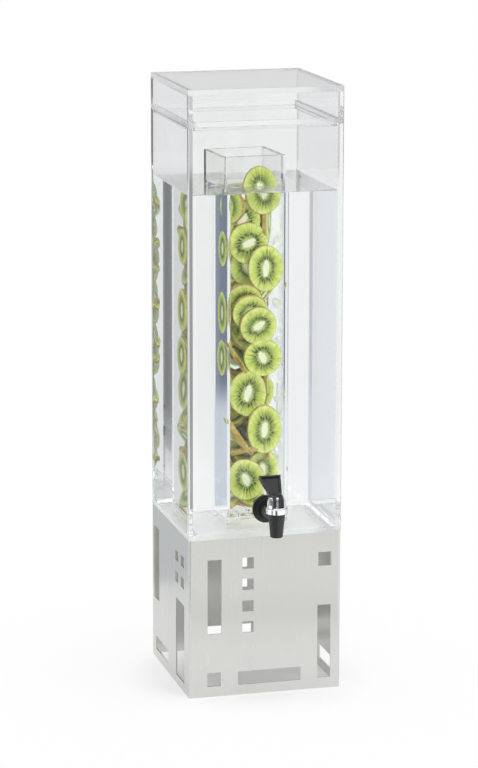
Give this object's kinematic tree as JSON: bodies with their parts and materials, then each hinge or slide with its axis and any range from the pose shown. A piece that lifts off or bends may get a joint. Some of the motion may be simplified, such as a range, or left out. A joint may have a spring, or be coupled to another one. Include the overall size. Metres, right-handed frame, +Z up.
{
  "type": "infusion beverage dispenser",
  "caption": "Square clear acrylic drink dispenser with a box lid, a loose infusion chamber and a sprung lever tap, standing on a pierced brushed steel riser.",
  "frame": {"origin": "on the table at the middle of the outline that the whole dispenser covers, tap included", "axes": "+Z up, -Y out of the front that carries the tap, +X to the right as seen from the front"},
  "size_m": [0.184, 0.2446, 0.7155],
  "materials": {
    "brushed_steel": "vertically brushed",
    "acrylic": "clear polished acrylic",
    "black_plastic": "satin moulded",
    "black_rubber": "matt",
    "chrome": "polished plating",
    "steel": "drawn stainless",
    "silicone": "matt translucent grey"
  },
  "bodies": {
    "riser": {"riser_shell": "brushed_steel"},
    "tank": {"tank_floor": "acrylic", "tank_front": "acrylic", "tank_back": "acrylic", "tank_left": "acrylic", "tank_right": "acrylic", "tank_floor_locator": "acrylic", "tap_body": "black_plastic", "tap_flange": "black_plastic", "tap_outer_washer": "black_rubber", "tap_inner_washer": "black_rubber", "tap_nut": "black_plastic", "tap_bonnet": "chrome", "tap_spring": "steel"},
    "chamber": {"chamber_front": "acrylic", "chamber_back": "acrylic", "chamber_left": "acrylic", "chamber_right": "acrylic", "chamber_strainer": "acrylic"},
    "lid": {"lid_top": "acrylic", "lid_skirt_front": "acrylic", "lid_skirt_back": "acrylic", "lid_skirt_left": "acrylic", "lid_skirt_right": "acrylic", "lid_frame": "acrylic", "lid_lip_front": "acrylic", "lid_lip_back": "acrylic", "lid_lip_left": "acrylic", "lid_lip_right": "acrylic"},
    "valve": {"tap_stem": "steel", "tap_seat_cup": "silicone", "tap_lever_pin": "steel"},
    "lever": {"tap_lever": "black_plastic"}
  },
  "joints": [
    {"name": "tank_lift", "type": "slide", "parent": "riser", "child": "tank", "axis": [0, 0, 1], "range_m": [0, 0.03]},
    {"name": "chamber_lift", "type": "slide", "parent": "tank", "child": "chamber", "axis": [0, 0, 1], "range_m": [0, 0.48]},
    {"name": "lid_lift", "type": "slide", "parent": "chamber", "child": "lid", "axis": [0, 0, 1], "range_m": [0, 0.1]},
    {"name": "valve_lift", "type": "slide", "parent": "tank", "child": "valve", "axis": [0, 0, 1], "range_m": [0, 0.0045], "deforming": ["tap_spring"]},
    {"name": "lever_pull", "type": "hinge", "parent": "valve", "child": "lever", "pos_m": [0, -0.10965, 0.247], "axis": [1, 0, 0], "range_deg": [0, 40], "stiffness_Nm_per_rad": 0.06, "springref_deg": -28.65}
  ],
  "couplings": [
    {"joint": "valve_lift", "follows": "lever_pull", "m_per_rad": 0.006445}
  ]
}
